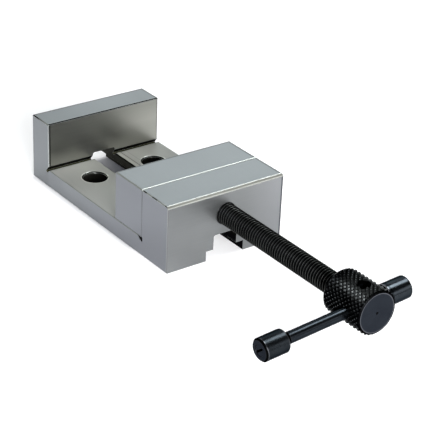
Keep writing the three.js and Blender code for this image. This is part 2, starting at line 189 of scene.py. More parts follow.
def lathe(name, axis, profile, sides=72, at=(0, 0, 0)):
    """A profile of (station, radius) pairs, turned about an axis through the point at."""
    place = {
        "x": lambda s, r, a: (s, r * math.cos(a), r * math.sin(a)),
        "y": lambda s, r, a: (r * math.sin(a), s, r * math.cos(a)),
        "z": lambda s, r, a: (r * math.cos(a), r * math.sin(a), s),
    }[axis]
    points, rings = [], []
    for station, radius in profile:
        count = sides if radius > 0 else 1
        first = len(points)
        for i in range(count):
            p = place(station, radius, 2 * math.pi * i / sides)
            points.append([p[k] + at[k] for k in range(3)])
        rings.append([first + i % count for i in range(sides)])
    faces = []
    for near, far in zip(rings, rings[1:]):
        for i in range(sides):
            j = (i + 1) % sides
            corners = [near[i], near[j], far[j], far[i]]
            unique = list(dict.fromkeys(corners))
            if len(unique) > 2:
                faces.append(tuple(unique))
    return mesh_object(name, points, faces)


def cylinder(name, axis, start, end, radius, sides, at=(0, 0, 0)):
    return lathe(name, axis, [(start, 0), (start, radius), (end, radius), (end, 0)], sides, at)


def applied(obj):
    """Makes an object's modifiers part of its mesh."""
    depsgraph = bpy.context.evaluated_depsgraph_get()
    mesh = bpy.data.meshes.new_from_object(obj.evaluated_get(depsgraph))
    old = obj.data
    obj.modifiers.clear()
    obj.data = mesh
    bpy.data.meshes.remove(old)
    return obj


def combine(obj, other, operation="DIFFERENCE"):
    modifier = obj.modifiers.new("combine", "BOOLEAN")
    modifier.operation = operation
    modifier.solver = "EXACT"
    modifier.object = other
    applied(obj)
    bpy.data.objects.remove(other)
    return obj


def material_index(obj, material):
    return list(obj.data.materials).index(material)


def break_edges(obj, width, edge_material=None, wider=None):
    """A fine rounded break on every sharp edge, with flat faces left flat.

    wider gives another width in millimetres for an edge, from its middle and its direction.
    """
    mesh = bmesh.new()
    mesh.from_mesh(obj.data)
    widths = {}
    for edge in mesh.edges:
        if len(edge.link_faces) == 2 and edge.calc_face_angle() > SHARP_ANGLE:
            middle = (edge.verts[0].co + edge.verts[1].co) / 2 / MM
            direction = (edge.verts[1].co - edge.verts[0].co).normalized()
            chosen = wider(middle, direction) if wider else None
            widths[edge.index] = chosen or width
    layer = mesh.edges.layers.float.new("bevel_weight_edge")
    widest = max(widths.values())
    for edge in mesh.edges:
        edge[layer] = widths.get(edge.index, 0) / widest
    mesh.to_mesh(obj.data)
    mesh.free()
    modifier = obj.modifiers.new("break", "BEVEL")
    modifier.width = widest * MM
    modifier.segments = 2
    modifier.limit_method = "WEIGHT"
    modifier.harden_normals = True
    modifier.use_clamp_overlap = False
    if edge_material:
        modifier.material = material_index(obj, edge_material)
    obj.data.shade_smooth()
    return applied(obj)


def shade(obj, angle=30):
    """Smooth shading, with edges sharper than the angle left sharp."""
    obj.data.shade_smooth()
    obj.data.set_sharp_from_angle(angle=math.radians(angle))
    return obj


def arc(centre, radius, start, end):
    """Points on an arc in two dimensions, from one angle to another in degrees."""
    steps = range(ARC_STEPS + 1)
    angles = [math.radians(start + (end - start) * i / ARC_STEPS) for i in steps]
    return [(centre[0] + radius * math.cos(a), centre[1] + radius * math.sin(a)) for a in angles]


# Material helpers

RING_SIZE = 4200


def new_material(name):
    material = bpy.data.materials.new(name)
    material.use_nodes = True
    tree = material.node_tree
    return material, tree, tree.nodes["Principled BSDF"]


def add(tree, kind, **values):
    """A node with its settings and input values. A linked input is given as a socket."""
    made = tree.nodes.new(kind)
    for key, value in values.items():
        if not key.startswith("in_"):
            setattr(made, key, value)
            continue
        name = key[3:].replace("_", " ")
        socket = made.inputs[int(name)] if name.isdigit() else made.inputs[name]
        if isinstance(value, bpy.types.NodeSocket):
            tree.links.new(value, socket)
        else:
            socket.default_value = value
    return made


def stretched_noise(tree, coordinates, scale, detail, roughness):
    """Noise whose grain has the given size per metre along X, Y and Z."""
    mapping = add(tree, "ShaderNodeMapping", in_Vector=coordinates, in_Scale=scale)
    noise = add(
        tree,
        "ShaderNodeTexNoise",
        in_Vector=mapping.outputs["Vector"],
        in_Scale=1.0,
        in_Detail=detail,
        in_Roughness=roughness,
    )
    return noise.outputs["Fac"]


def ramp(tree, value, low, high, to_low=0.0, to_high=1.0):
    """A value moved from one range to another and clamped there."""
    made = add(
        tree,
        "ShaderNodeMapRange",
        in_Value=value,
        in_From_Min=low,
        in_From_Max=high,
        in_To_Min=to_low,
        in_To_Max=to_high,
    )
    return made.outputs["Result"]


def mix_colour(tree, factor, a, b):
    return add(tree, "ShaderNodeMix", data_type="RGBA", in_0=factor, in_6=a, in_7=b).outputs[2]


def mix_value(tree, factor, a, b):
    return add(tree, "ShaderNodeMix", data_type="FLOAT", in_0=factor, in_2=a, in_3=b).outputs[0]


def calculate(tree, operation, first, *rest):
    """A math node, or a chain of them for more than two values."""
    result = first
    for value in rest or (0.0,):
        made = add(tree, "ShaderNodeMath", operation=operation, in_0=result, in_1=value)
        result = made.outputs[0]
    return result


def product(tree, *values):
    return calculate(tree, "MULTIPLY", *values)


def highest(tree, *values):
    return calculate(tree, "MAXIMUM", *values)


def size_of(tree, value):
    return calculate(tree, "ABSOLUTE", value)


def distance(tree, a, b):
    """How far a point is from an axis, from its offsets in the two other directions."""
    squares = product(tree, a, a), product(tree, b, b)
    return calculate(tree, "SQRT", calculate(tree, "ADD", *squares))


def finish_shader(tree, shader, colour, rough, bump):
    tree.links.new(colour, shader.inputs["Base Color"])
    tree.links.new(rough, shader.inputs["Roughness"])
    tree.links.new(bump.outputs["Normal"], shader.inputs["Normal"])


def ground_steel(name, light, dark, roughness, metallic=1.0):
    """Surface-ground steel: fine grinding lines along the length, along Y on the end faces."""
    material, tree, shader = new_material(name)
    place = add(tree, "ShaderNodeTexCoord")
    facing = add(tree, "ShaderNodeSeparateXYZ", in_Vector=place.outputs["Normal"])
    tilt = size_of(tree, facing.outputs["X"])
    end_face = calculate(tree, "GREATER_THAN", tilt, 0.7)
    spot = place.outputs["Object"]
    along = stretched_noise(tree, spot, (55, 2600, 2600), 4, 0.6)
    across = stretched_noise(tree, spot, (2600, 55, 2600), 4, 0.6)
    lines = mix_value(tree, end_face, along, across)
    clouds = stretched_noise(tree, spot, (38, 38, 38), 2, 0.5)
    fine = ramp(tree, lines, 0.3, 0.7, 0.0, 0.5)
    tone = calculate(tree, "ADD", fine, ramp(tree, clouds, 0.3, 0.7, 0.0, 0.5))
    shader.inputs["Metallic"].default_value = metallic
    broad = ramp(tree, clouds, 0.3, 0.7, roughness - 0.03, roughness + 0.03)
    rough = calculate(tree, "ADD", broad, ramp(tree, lines, 0.3, 0.7, -0.02, 0.02))
    bump = add(tree, "ShaderNodeBump", in_Height=lines, in_Strength=0.2, in_Distance=6e-6)
    finish_shader(tree, shader, mix_colour(tree, tone, (*dark, 1), (*light, 1)), rough, bump)
    return material


def black_oxide(name, light, dark, roughness, ring_axis=None):
    """Blackened steel, with fine turning rings where an axis of the piece is given."""
    material, tree, shader = new_material(name)
    place = add(tree, "ShaderNodeTexCoord")
    spot = place.outputs["Object"]
    grain = stretched_noise(tree, spot, (2200, 2200, 2200), 3, 0.6)
    clouds = stretched_noise(tree, spot, (160, 160, 160), 2, 0.5)
    fine = ramp(tree, grain, 0.3, 0.7, 0.0, 0.45)
    tone = calculate(tree, "ADD", fine, ramp(tree, clouds, 0.35, 0.65, 0.0, 0.55))
    shader.inputs["Metallic"].default_value = 1.0
    shader.inputs["Specular Tint"].default_value = (0.4, 0.4, 0.4, 1)
    height = grain
    if ring_axis:
        scale = [RING_SIZE if axis == ring_axis else 40 for axis in "XYZ"]
        rings = stretched_noise(tree, spot, scale, 3, 0.6)
        split = add(tree, "ShaderNodeSeparateXYZ", in_Vector=spot)
        others = [split.outputs[axis] for axis in "XYZ" if axis != ring_axis]
        spread = add(tree, "ShaderNodeCombineXYZ", in_X=distance(tree, *others))
        discs = stretched_noise(tree, spread.outputs["Vector"], (RING_SIZE, 1, 1), 3, 0.6)
        facing = add(tree, "ShaderNodeSeparateXYZ", in_Vector=place.outputs["Normal"])
        tilt = size_of(tree, facing.outputs[ring_axis])
        ends = calculate(tree, "GREATER_THAN", tilt, 0.7)
        turned = mix_value(tree, ends, rings, discs)
        height = calculate(tree, "ADD", turned, product(tree, grain, 0.3))
    rough = ramp(tree, tone, 0.0, 1.0, roughness + 0.05, roughness - 0.05)
    bump = add(tree, "ShaderNodeBump", in_Height=height, in_Strength=0.4, in_Distance=15e-6)
    finish_shader(tree, shader, mix_colour(tree, tone, (*dark, 1), (*light, 1)), rough, bump)
    return material


# Materials

steel = ground_steel("ground_steel", (0.228, 0.242, 0.254), (0.203, 0.216, 0.228), 0.32)
# Painted highlight: a lighter copy of the ground steel for the broken edges
steel_edge_highlight = ground_steel("ground_steel_edge", (0.4, 0.42, 0.41), (0.34, 0.36, 0.35), 0.3)
# Painted shade: a darker copy for the upright corners
steel_corner_shade = ground_steel("ground_steel_corner", (0.138, 0.138, 0.15), (0.12, 0.12, 0.13), 0.4)
# Painted highlight: a lighter copy for the nut's front chamfer
steel_chamfer_highlight = ground_steel("ground_steel_chamfer", (0.36, 0.36, 0.33), (0.3, 0.3, 0.275), 0.35)
# Painted highlight: a lighter copy for the sliding jaw's chamfer at the seam
steel_seam_highlight = ground_steel("ground_steel_seam", (0.27, 0.283, 0.278), (0.24, 0.25, 0.246), 0.4)
# Painted highlight: a lighter copy for the broken edges along the near side
steel_side_edge_highlight = ground_steel(
    "ground_steel_side_edge", (0.27, 0.29, 0.27), (0.23, 0.245, 0.23), 0.4
)
# Painted highlight: a light band on the fixed jaw's near upright edge
steel_band_highlight = ground_steel("ground_steel_band", (0.4, 0.42, 0.42), (0.36, 0.38, 0.38), 0.4)
# Painted reflection: the nut's front face in a darker copy of its own
nut_face_reflection_steel = ground_steel("nut_face_reflection_steel", (0.198, 0.205, 0.207), (0.173, 0.18, 0.183), 0.41)
# Painted shade: a dark copy for the line between the sliding jaw and the nut
seam_shade_line = ground_steel("seam_shade_line", (0.12, 0.125, 0.125), (0.09, 0.095, 0.095), 0.4)
# Painted shade: a dark copy for the groove at the fixed jaw's foot
groove_shade_steel = ground_steel("groove_shade_steel", (0.075, 0.075, 0.045), (0.05, 0.05, 0.03), 0.5, 0.3)
# Painted reflection: an olive copy for the clamping face
jaw_face_reflection_steel = ground_steel("jaw_face_reflection_steel", (0.223, 0.226, 0.205), (0.195, 0.198, 0.178), 0.32)
# Painted shade: a dark copy for the far edges, which turn away from the light
dark_edge_shade = ground_steel("dark_edge_shade", (0.04, 0.042, 0.04), (0.02, 0.021, 0.02), 0.35)
bed_steel = ground_steel("bed_steel", (0.28, 0.282, 0.27), (0.25, 0.253, 0.24), 0.5, 0.4)
# Painted shade: near-black copies for the guideway, the nut's recesses and sheltered edges, and
# the bolt holes
recess_shade_steel = ground_steel("recess_shade_steel", (0.078, 0.078, 0.067), (0.054, 0.054, 0.046), 0.5, 0.0)
under_shade_steel = ground_steel("under_shade_steel", (0.003, 0.003, 0.0035), (0.002, 0.002, 0.0025), 0.5, 0.0)
hole_shade_steel = ground_steel("hole_shade_steel", (0.012, 0.012, 0.01), (0.006, 0.006, 0.005), 0.4, 0)
for dull in (recess_shade_steel, groove_shade_steel, under_shade_steel, hole_shade_steel):
    dull.node_tree.nodes["Principled BSDF"].inputs["Specular IOR Level"].default_value = 0.0
pin_steel = ground_steel("pin_steel", (0.55, 0.56, 0.57), (0.48, 0.49, 0.5), 0.22)
# The thread's black oxide, also used as painted shade in the head's holes, on chamfers and in the
# bar's neck and slot
black_thread_and_shade = black_oxide(
    "black_oxide_thread_and_shade", (0.0021, 0.0023, 0.0025), (0.001, 0.0011, 0.0012), 0.4
)
# Painted highlight on the thread's crests
black_crest_highlight = black_oxide("black_oxide_crest_highlight", (0.08, 0.083, 0.08), (0.04, 0.0415, 0.04), 0.34)
black_knurl = black_oxide("black_oxide_knurl", (0.013, 0.014, 0.015), (0.005, 0.0055, 0.006), 0.28)
# Painted highlight on the knurl's flat tips
knurl_tip_highlight = black_oxide("black_oxide_knurl_tip", (0.115, 0.121, 0.126), (0.05, 0.053, 0.055), 0.35)
black_face = black_oxide(
    "black_oxide_face", (0.025, 0.029, 0.036), (0.0175, 0.02, 0.026), 0.36, "X"
)
black_bar = black_oxide(
    "black_oxide_bar", (0.022, 0.026, 0.031), (0.015, 0.018, 0.0215), 0.25, "Y"
)
# Painted shade: a darker copy of the knobs' black oxide for the left knob
black_left_knob_shaded = black_oxide(
    "black_oxide_left_knob_shaded", (0.022, 0.026, 0.03), (0.015, 0.0175, 0.0205), 0.27, "Y"
)
black_knob = black_oxide("black_oxide_knob", (0.034, 0.04, 0.046), (0.024, 0.028, 0.033), 0.2, "Y")
black_end = black_oxide("black_oxide_end", (0.024, 0.027, 0.033), (0.017, 0.019, 0.024), 0.3, "Y")
black_edge = black_oxide("black_oxide_edge", (0.03, 0.032, 0.035), (0.02, 0.021, 0.023), 0.4)
# Painted highlight on the right knob's inner chamfer
knob_rim_highlight = black_oxide("black_oxide_rim_highlight", (0.3, 0.31, 0.34), (0.2, 0.21, 0.23), 0.4)
black_screws = black_oxide(
    "black_oxide_screws", (0.055, 0.057, 0.06), (0.04, 0.041, 0.044), 0.38, "Z"
)


def place_in_mm(tree, axes="XYZ"):
    """A surface point's place on its object, as one value to an axis."""
    place = add(tree, "ShaderNodeTexCoord").outputs["Object"]
    split = add(tree, "ShaderNodeSeparateXYZ", in_Vector=place)
    return [calculate(tree, "DIVIDE", split.outputs[axis], MM) for axis in axes]


def tinted(material, make_factor, colour):
    """Mixes another colour into a material where a factor of its place is one."""
    tree = material.node_tree
    shader = tree.nodes["Principled BSDF"]
    factor = make_factor(tree, *place_in_mm(tree))
    before = shader.inputs["Base Color"].links[0].from_socket
    mixed = mix_colour(tree, factor, before, (*colour, 1))
    tree.links.new(mixed, shader.inputs["Base Color"])


def band(tree, value, middle, half_width, strength):
    """Full strength within the half width of the middle, with a soft edge."""
    off = size_of(tree, calculate(tree, "SUBTRACT", value, middle))
    return ramp(tree, off, half_width + 0.1, half_width - 0.1, 0.0, strength)


def rise(axis, start, end, strength=1.0):
    """A factor that grows from nothing at one station of an axis to its strength at another."""
    k = "XYZ".index(axis)
    return lambda tree, *axes: ramp(tree, axes[k], start, end, 0.0, strength)


def line(axis, middle, half_width, strength):
    """A factor that has its strength in a line across an axis."""
    k = "XYZ".index(axis)
    return lambda tree, *axes: band(tree, axes[k], middle, half_width, strength)


def painted_light_toward_slot(tree, x, y, z):
    """Painted light: the bed's ledges grow lighter from their outer edges to the slot."""
    return ramp(tree, size_of(tree, y), 23, 12)


def hole_rim_highlight(tree, x, y, z):
    """Painted highlight: the light ring about each bolt hole."""
    dx = calculate(tree, "SUBTRACT", x, HOLE_X)
    dy = calculate(tree, "SUBTRACT", size_of(tree, y), HOLE_Y)
    return ramp(tree, distance(tree, dx, dy), 5.4, 5.25, 0.0, 0.85)


def slot_rim_shade(tree, x, y, z):
    """Painted shade: the dark line at the top of the slot's walls."""
    return product(tree, band(tree, z, BED_Z - 0.4, 0.4, 0.9), ramp(tree, x, 0.2, 0.6))


def lit_wall(tree, x, y, z):
    """The upper part of a bolt hole's wall toward the fixed jaw."""
    above = ramp(tree, z, BED_Z - 1.3, BED_Z - 0.6)
    return product(tree, above, ramp(tree, x, HOLE_X - 2.0, HOLE_X - 4.2))


def jaw_far_end_reflection(tree, x, y, z):
    """Painted reflection: the far half of the clamping face, lighter toward its foot."""
    return product(tree, ramp(tree, y, 0, 9, 0.0, 0.75), ramp(tree, z, 7, 1))


def jaw_frame_shade(tree, x, y, z):
    """Painted shade: the dark line inside the clamping face's top and near edges."""
    top = ramp(tree, z, TOP_Z - 0.6, TOP_Z - 0.5, 0.0, 0.95)
    near = ramp(tree, y, 1.15 - HALF_WIDTH, 1.05 - HALF_WIDTH, 0.0, 0.95)
    return highest(tree, top, near)


def on_side(tree, y):
    return ramp(tree, size_of(tree, y), HALF_WIDTH - 0.4, HALF_WIDTH - 0.1)


def near_front_side_shade(tree, x, y, z):
    """Painted shade: the sides toward the nut, a little darker."""
    return product(tree, on_side(tree, y), ramp(tree, x, 15, 50, 0.0, 0.5))


def jaw_gap_line(tree, x, y, z):
    """The shadow line along the lower edge of the sliding jaw's sides."""
    low = band(tree, z, BED_Z + 0.12, 0.2, 0.9)
    under_jaw = ramp(tree, x, JAW_FRONT_X - 0.6, JAW_FRONT_X - 0.4)
    before_nut = ramp(tree, x, JAW_BACK_X + 0.05, JAW_BACK_X)
    return product(tree, on_side(tree, y), low, under_jaw, before_nut)


def far_outline_shade(tree, x, y, z):
    """Painted shade: a darker line on the tops along the far edges."""
    on_top = ramp(tree, z, TOP_Z - 0.1, TOP_Z - 0.05, 0.0, 0.7)
    far_side = ramp(tree, y, HALF_WIDTH - 1.2, HALF_WIDTH - 1.05)
    jaw_back = band(tree, x, JAW_FRONT_X + EDGE + 0.1, 0.55, 1.0)
    body_back = ramp(tree, x, BACK_X + 1.1, BACK_X + 0.95)
    return product(tree, on_top, highest(tree, far_side, jaw_back, body_back))


def side_edge_dark_reflections(tree, x, y, z):
    """Painted dark reflections: short dark marks on the top side edge, at the back and along the
    nut.
    """
    back = ramp(tree, x, -4, -8, 0.0, 0.95)
    nut_back = band(tree, x, NUT_BACK_X + 1.6, 0.9, 0.9)
    nut_middle = band(tree, x, NUT_BACK_X + 7.4, 1.5, 0.7)
    nut_front = band(tree, x, FRONT_X - 1.4, 0.5, 0.9)
    return highest(tree, back, nut_back, nut_middle, nut_front)


def head_top_highlight(tree, x, y, z):
    """Painted highlight: the top of the head about the spare hole, where the knurl is lighter."""
    return product(tree, ramp(tree, z, 4.8, 7.0, 0.0, 0.8), ramp(tree, x, 80, 86))


def light_beside_bar(tree, x, y, z):
    """Painted light: a lighter patch about the bar's hole on the side of the right knob."""
    reach = distance(tree, calculate(tree, "SUBTRACT", x, CROSS_HOLE_X), z)
    return product(tree, ramp(tree, reach, 4.6, 3.6, 0.0, 0.85), ramp(tree, y, 4, 5))


def face_highlight_ring(tree, x, y, z):
    """Painted highlight: the light ring near the rim of the head's end face."""
    return band(tree, distance(tree, y, z), HEAD_RADIUS - 1.1, 0.1, 0.9)


def face_shade_border(tree, x, y, z):
    """Painted shade: the dark border outside that ring."""
    return ramp(tree, distance(tree, y, z), HEAD_RADIUS - 1.0, HEAD_RADIUS - 0.9)


def knob_highlight_lines(tree, x, y, z):
    """Painted highlight: the light line at each end of the left knob's skin."""
    outer = band(tree, y, LEFT_KNOB_Y - KNOB_LENGTH + 0.75, 0.1, 0.9)
    return highest(tree, outer, band(tree, y, LEFT_KNOB_Y - 0.5, 0.12, 0.9))


tinted(bed_steel, painted_light_toward_slot, (0.36, 0.364, 0.345))
tinted(bed_steel, hole_rim_highlight, (0.6, 0.6, 0.555))
# A bright strip beside the slot, and two darker lines along one ledge
tinted(bed_steel, line("Y", 5.6, 0.45, 0.85), (0.43, 0.43, 0.395))
tinted(bed_steel, line("Y", 6.9, 0.2, 0.85), (0.09, 0.09, 0.075))
tinted(bed_steel, line("Y", 9.4, 0.15, 0.45), (0.16, 0.16, 0.145))
tinted(hole_shade_steel, lit_wall, (0.035, 0.036, 0.031))
# Painted reflection: the foot of the clamping face lighter
tinted(jaw_face_reflection_steel, rise("Z", -2, -8.5, 0.8), (0.36, 0.36, 0.325))
tinted(jaw_face_reflection_steel, jaw_far_end_reflection, (0.32, 0.32, 0.29))
tinted(jaw_face_reflection_steel, jaw_frame_shade, (0.012, 0.012, 0.01))
# The nut's front chamfer: a painted shade line, a painted highlight below it, and its top edge's
# painted highlight dimmed
tinted(steel_chamfer_highlight, line("Z", TOP_Z - 0.47, 0.12, 0.8), (0.25, 0.25, 0.23))
tinted(steel_chamfer_highlight, rise("Z", TOP_Z - 0.66, TOP_Z - 0.76), (0.62, 0.62, 0.58))
tinted(steel_edge_highlight, rise("X", FRONT_X - 1.4, FRONT_X - 1.3, 0.95), (0.27, 0.28, 0.275))
# Painted shade in the guideway behind the sliding jaw
tinted(recess_shade_steel, rise("X", 40, 50), (0.0025, 0.0025, 0.003))
tinted(recess_shade_steel, slot_rim_shade, (0.006, 0.006, 0.005))
# Painted shade: the fixed jaw a little darker than the rest
tinted(steel, rise("X", 1, -1, 0.5), (0.168, 0.178, 0.188))
tinted(steel, near_front_side_shade, (0.158, 0.163, 0.19))
tinted(steel, jaw_gap_line, (0.03, 0.03, 0.03))
tinted(steel, far_outline_shade, (0.06, 0.063, 0.066))
# The nut's front face: a painted reflection, lighter toward its far end, and a painted shade line
# along its far edge
tinted(nut_face_reflection_steel, rise("Y", 8, 22, 0.5), (0.27, 0.275, 0.29))
tinted(nut_face_reflection_steel, rise("Y", HALF_WIDTH - 0.95, HALF_WIDTH - 0.8, 0.85), (0.05, 0.055, 0.065))
# Less of the painted shade in the lower part of the line between the sliding jaw and the nut
tinted(seam_shade_line, rise("Z", 5, -2, 0.8), (0.21, 0.215, 0.23))
# A painted highlight just outside the right knob's inner chamfer, and a painted shadow band next
# to it
tinted(black_knob, line("Y", RIGHT_KNOB_Y + 0.4, 0.15, 0.9), (0.075, 0.08, 0.09))
tinted(black_knob, line("Y", RIGHT_KNOB_Y + 1.15, 0.35, 0.6), (0.008, 0.009, 0.011))
# Painted dark reflections on the near side's top edges
tinted(steel_side_edge_highlight, side_edge_dark_reflections, (0.01, 0.01, 0.01))
# Painted shadow in the upper part of the groove at the fixed jaw's foot
tinted(groove_shade_steel, rise("Z", BED_Z - 0.9, BED_Z - 0.6), (0.004, 0.004, 0.003))
# Painted highlight on the knurl at the head's top, and painted light beside the bar's hole
for knurled, crown in ((black_knurl, 0.08), (knurl_tip_highlight, 0.13)):
    tinted(knurled, head_top_highlight, (crown, crown * 1.06, crown * 1.08))
    tinted(knurled, light_beside_bar, (0.34, 0.36, 0.38))
tinted(black_face, face_highlight_ring, (0.13, 0.135, 0.15))
tinted(black_face, face_shade_border, (0.002, 0.002, 0.0025))
tinted(black_left_knob_shaded, knob_highlight_lines, (0.11, 0.115, 0.125))


def given(obj, materials):
    """The object with its materials in their slots."""
    for material in materials:
        obj.data.materials.append(material)
    return obj


def paint(obj, material, inside):
    """Gives a material to the faces whose middle, in millimetres, and normal pass a test."""
    index = material_index(obj, material)
    for polygon in obj.data.polygons:
        if inside([c / MM for c in polygon.center], polygon.normal):
            polygon.material_index = index
    return obj


def dress(obj, name, body, slot_name, *nodes):
    """Gives a piece its name and its body, and hides the CAD nodes it stands for; slot_name is not
    used.
    """
    obj.name = name
    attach(obj, body)
    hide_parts(*nodes)


# Body

def jaw_relief():
    """The groove at the fixed jaw's foot, sawn at 45 degrees into the corner."""
    mouth = GROOVE_MOUTH * math.sqrt(0.5)
    near = (GROOVE_DEPTH - GROOVE_WIDTH / 2) * math.sqrt(0.5)
    far = (GROOVE_DEPTH + GROOVE_WIDTH / 2) * math.sqrt(0.5)
    return [
        (mouth, BED_Z),
        (-near, BED_Z - far),
        (-far, BED_Z - near),
        (-far * 0.45, BED_Z + (mouth + near) * 0.55 - near),
        (0, BED_Z + mouth),
    ]


def nut_relief():
    """The groove at the nut block's foot, which ends in a wedge."""
    x, z = NUT_BACK_X, BED_Z
    return [
        (x, z + 0.9),
        (x + 0.35, z + 0.2),
        (x + 0.6, z - 1.2),
        (x + 0.15, z - 1.75),
        (x - 0.7, z - 1.2),
        (x - 2.4, z),
    ]


def mirrored(half):
    """A half outline followed by its mirror image."""
    return half + [(-s, t) for s, t in reversed(half)]


def broken_top(high, low):
    """Points across a top with a broken edge at each end."""
    return [(high, TOP_Z - EDGE), (high - EDGE, TOP_Z), (low + EDGE, TOP_Z), (low, TOP_Z - EDGE)]


def upright_corner(place, normal):
    return abs(normal.z) < 0.1 and abs(normal.x) < 0.97 and abs(normal.y) < 0.97


def far_top(place, normal):
    """The broken edges round a top, toward the back and the far side."""
    slanted = 0.2 < normal.z < 0.95 and place[2] > TOP_Z - 0.4
    return slanted and (normal.y > 0.3 or normal.x < -0.3)


def side_top(place, normal):
    """The broken edge of a top along the near side."""
    return 0.2 < normal.z < 0.95 and place[2] > TOP_Z - 0.4 and normal.y < -0.3


def make_body():
    side = [
        (BACK_X, BASE_Z),
        (FRONT_X, BASE_Z),
        (FRONT_X, TOP_Z - NUT_CHAMFER),
        (FRONT_X - NUT_CHAMFER, TOP_Z),
        (NUT_BACK_X + EDGE, TOP_Z),
        (NUT_BACK_X, TOP_Z - EDGE),
        *nut_relief(),
        *jaw_relief(),
        *broken_top(0, BACK_X),
    ]
    w = HALF_WIDTH
    round_middle = (SLOT_HALF - SLOT_ROUND, SLOT_Z - SLOT_ROUND)
    half_end = [
        *arc(round_middle, SLOT_ROUND, 90, 0),
        (SLOT_HALF, CHANNEL_Z),
        (CHANNEL_HALF, CHANNEL_Z),
        (CHANNEL_HALF, BASE_Z),
        (w - EDGE, BASE_Z),
        (w, BASE_Z + EDGE),
        (w, TOP_Z - EDGE),
        (w - EDGE, TOP_Z),
    ]
    body = prism("body", "y", side, -w, w)
    combine(body, prism("end", "x", mirrored(half_end), BACK_X, FRONT_X), "INTERSECT")
    for y in (-HOLE_Y, HOLE_Y):
        hole = [
            (BASE_Z - 1, 0),
            (BASE_Z - 1, HOLE_RADIUS),
            (BED_Z - HOLE_CHAMFER, HOLE_RADIUS),
            (BED_Z + 1, HOLE_RADIUS + HOLE_CHAMFER + 1),
            (BED_Z + 1, 0),
        ]
        combine(body, lathe("hole", "z", hole, 96, (HOLE_X, y, 0)))
    bore_mouth = BORE_RADIUS + BORE_CHAMFER
    bore = [
        (NUT_BACK_X - 1, 0),
        (NUT_BACK_X - 1, bore_mouth),
        (NUT_BACK_X, bore_mouth),
        (NUT_BACK_X + BORE_CHAMFER, BORE_RADIUS),
        (FRONT_X - BORE_CHAMFER, BORE_RADIUS),
        (FRONT_X, bore_mouth),
        (FRONT_X + 1, bore_mouth),
        (FRONT_X + 1, 0),
    ]
    combine(body, lathe("bore", "x", bore, 96))

    def recess(place, normal):
        x, y, z = place
        in_groove = (
            abs(normal.y) < 0.05
            and abs(normal.x) > 0.2
            and BED_Z - 1.8 < z < BED_Z + 1
            and min(abs(x), abs(x - NUT_BACK_X)) < 2.5
        )
        in_bore = math.hypot(y, z) < bore_mouth and abs(normal.x) < 0.9 and x > NUT_BACK_X
        in_guideway = (
            abs(y) < CHANNEL_HALF + 0.1
            and BASE_Z + 0.1 < z < SLOT_Z + 0.1
            and abs(normal.x) < 0.5
            and normal.z < 0.5
        )
        return in_groove or in_bore or in_guideway

    def in_nut(place, normal):
        return recess(place, normal) and place[0] > NUT_BACK_X - 2

    def groove(place, normal):
        return recess(place, normal) and abs(place[0]) < 2 and abs(normal.y) < 0.05

    def nut_face(place, normal):
        return normal.x > 0.99 and place[0] > FRONT_X - 0.05

    def clamping(place, normal):
        return normal.x > 0.9 and abs(place[0]) < 0.1

    def front_chamfer(place, normal):
        near_end = place[0] > FRONT_X - NUT_CHAMFER - 0.1
        return near_end and 0.6 < normal.z < 0.8 and abs(normal.y) < 0.1

    def bed(place, normal):
        return normal.z > 0.9 and abs(place[2] - BED_Z) < 0.1

    def bolt_hole(place, normal):
        reach = math.hypot(place[0] - HOLE_X, abs(place[1]) - HOLE_Y)
        return reach < HOLE_RADIUS + 0.5 and abs(normal.z) < 0.9

    def wider(middle, direction):
        x, y, z = middle
        outer = abs(y) > HALF_WIDTH - 0.1
        if abs(direction.z) > 0.9 and outer:
            if abs(x) < 0.1:
                return 0.6
            return 0.4 if x > FRONT_X - 0.1 else 0.15
        if abs(z - BED_Z) < 0.1 and outer:
            return 0.3
        if abs(direction.y) > 0.9 and z > TOP_Z - 0.1 and x > FRONT_X - 1.2:
            return 0.2
        return 0.06 if z < BED_Z - 0.1 else None

    def corner(place, normal):
        return upright_corner(place, normal) and abs(place[1]) > HALF_WIDTH - 0.4

    def jaw_corner(place, normal):
        return corner(place, normal) and abs(place[0]) < 0.7 and place[1] < 0

    def far_corner(place, normal):
        return corner(place, normal) and place[1] > 0

    def seam(place, normal):
        return corner(place, normal) and abs(place[0] - NUT_BACK_X) < 0.4

    def bed_edge(place, normal):
        slanted = 0.2 < normal.z < 0.95 and normal.y < -0.3
        return slanted and abs(place[2] - BED_Z) < 0.4 and place[1] < 0.4 - HALF_WIDTH

    def jaw_edge(place, normal):
        return place[2] > TOP_Z - 0.4 and abs(place[0]) < 0.4 and 0.3 < normal.x < 0.99

    materials = [
        steel, steel_edge_highlight, recess_shade_steel, bed_steel, hole_shade_steel, steel_corner_shade, dark_edge_shade,
        under_shade_steel, steel_chamfer_highlight, jaw_face_reflection_steel, steel_side_edge_highlight, steel_band_highlight, nut_face_reflection_steel,
        seam_shade_line, groove_shade_steel,
    ]
    given(body, materials)
    # Painted shade in the recesses, groove and holes, painted reflection on the nut's face and the
    # clamping face, painted highlight on the front chamfer
    paint(body, recess_shade_steel, recess)
    paint(body, under_shade_steel, in_nut)
    paint(body, groove_shade_steel, groove)
    paint(body, nut_face_reflection_steel, nut_face)
    paint(body, jaw_face_reflection_steel, clamping)
    paint(body, steel_chamfer_highlight, front_chamfer)
    paint(body, bed_steel, bed)
    paint(body, hole_shade_steel, bolt_hole)
    break_edges(body, 0.1, steel_edge_highlight, wider)
    # Painted shade on the upright corners, the far edges, the seam and the clamping face's top
    # chamfer; painted highlight on the fixed jaw's near corner and the near side's top edges
    paint(body, steel_corner_shade, corner)
    paint(body, steel_band_highlight, jaw_corner)
    paint(body, dark_edge_shade, far_corner)
    paint(body, seam_shade_line, seam)
    paint(body, dark_edge_shade, far_top)
    paint(body, steel_side_edge_highlight, side_top)
    paint(body, steel_side_edge_highlight, bed_edge)
    return paint(body, under_shade_steel, jaw_edge)


